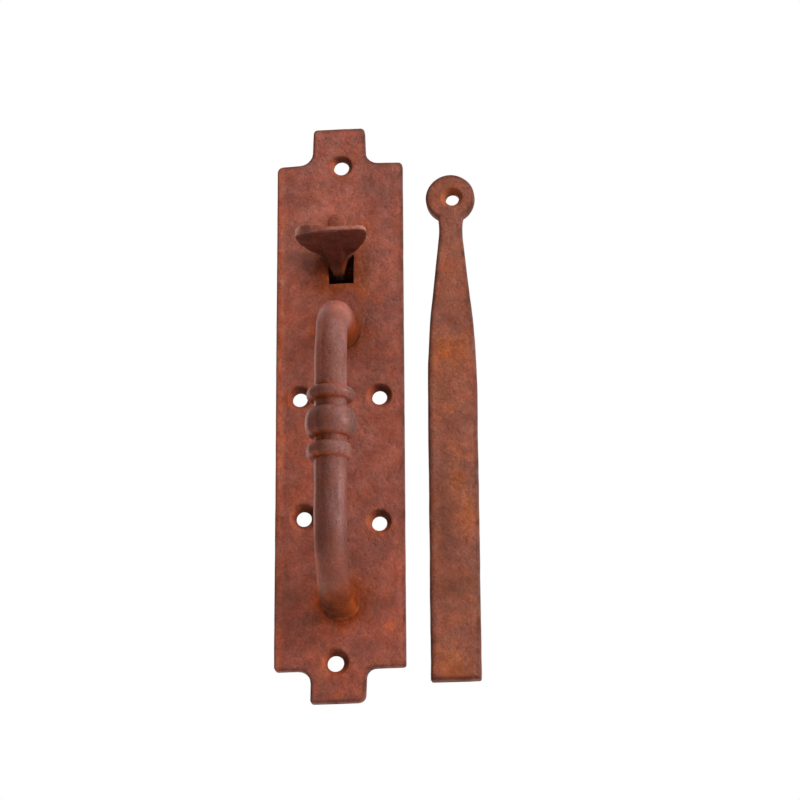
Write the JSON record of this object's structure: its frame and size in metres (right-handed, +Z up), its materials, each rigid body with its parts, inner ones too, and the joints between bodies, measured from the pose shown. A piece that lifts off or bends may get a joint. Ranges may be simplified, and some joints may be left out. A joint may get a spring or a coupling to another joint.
{
  "type": "thumb latch",
  "caption": "Forged iron thumb latch: a screw-on back plate with tabbed ends, a bowed pull with turned beads, a thumb lift on a pivot pin, and a separate flat latch bar.",
  "frame": {"origin": "on the back face of the plate, at the middle of its height and width, where the plate lies on the door", "axes": "+Z up along the plate, -Y towards the person opening the door, +Y into the door, +X to the right as seen from the front"},
  "size_m": [0.0795, 0.1146, 0.2372],
  "materials": {
    "plate_iron": "matte",
    "handle_iron": "matte",
    "lift_iron": "matte",
    "inner_iron": "matte",
    "bar_iron": "matte"
  },
  "bodies": {
    "plate": {"back_plate": "plate_iron", "pull_handle": "handle_iron", "handle_screw_top": "inner_iron", "handle_screw_bottom": "inner_iron", "pivot_bracket": "inner_iron", "pivot_pin": "inner_iron", "bracket_rivet_top": "plate_iron", "bracket_rivet_bottom": "plate_iron"},
    "lift": {"thumb_lift": "lift_iron"},
    "bar": {"latch_bar": "bar_iron"}
  },
  "joints": [
    {"name": "lift_pivot", "type": "hinge", "parent": "plate", "child": "lift", "pos_m": [0.0005, 0.006, 0.0596], "axis": [1, 0, 0], "range_deg": [0, 18]},
    {"name": "bar_swing", "type": "hinge", "parent": "plate", "child": "bar", "pos_m": [0.0452, 0, 0.0858], "axis": [0, -1, 0], "range_deg": [0, 110]}
  ]
}
